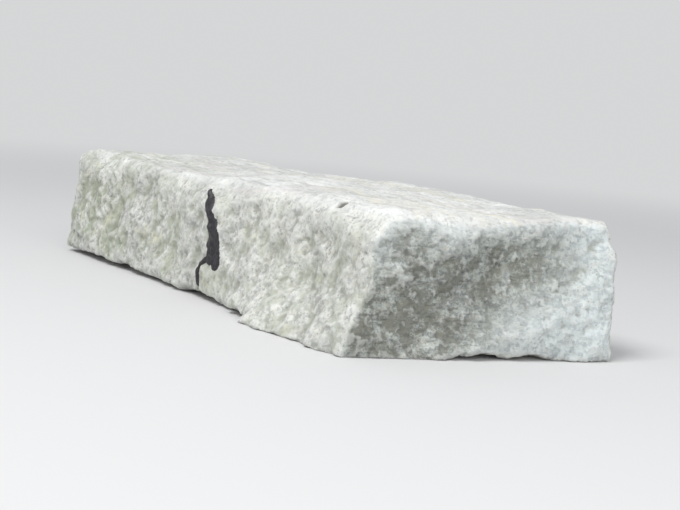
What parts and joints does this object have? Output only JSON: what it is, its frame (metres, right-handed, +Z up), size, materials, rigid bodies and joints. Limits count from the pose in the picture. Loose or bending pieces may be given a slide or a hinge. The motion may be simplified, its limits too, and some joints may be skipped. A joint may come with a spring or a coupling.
{
  "type": "granite kerb stone",
  "caption": "Rough split granite kerb stone lying on its wide side, with uneven faces, bevelled arrises, a flared foot and one slanting broken end hollowed by the break.",
  "frame": {"origin": "on the bed, under the middle of the stone's box", "axes": "+X along the stone, from its far end to the slanting broken end; -Y is out of the open long face; +Z is up from the bed to the top"},
  "size_m": [0.76, 0.3052, 0.1462],
  "materials": {
    "granite": "rough split, weathered"
  },
  "bodies": {
    "root": {"kerb_stone": "granite"}
  },
  "joints": []
}
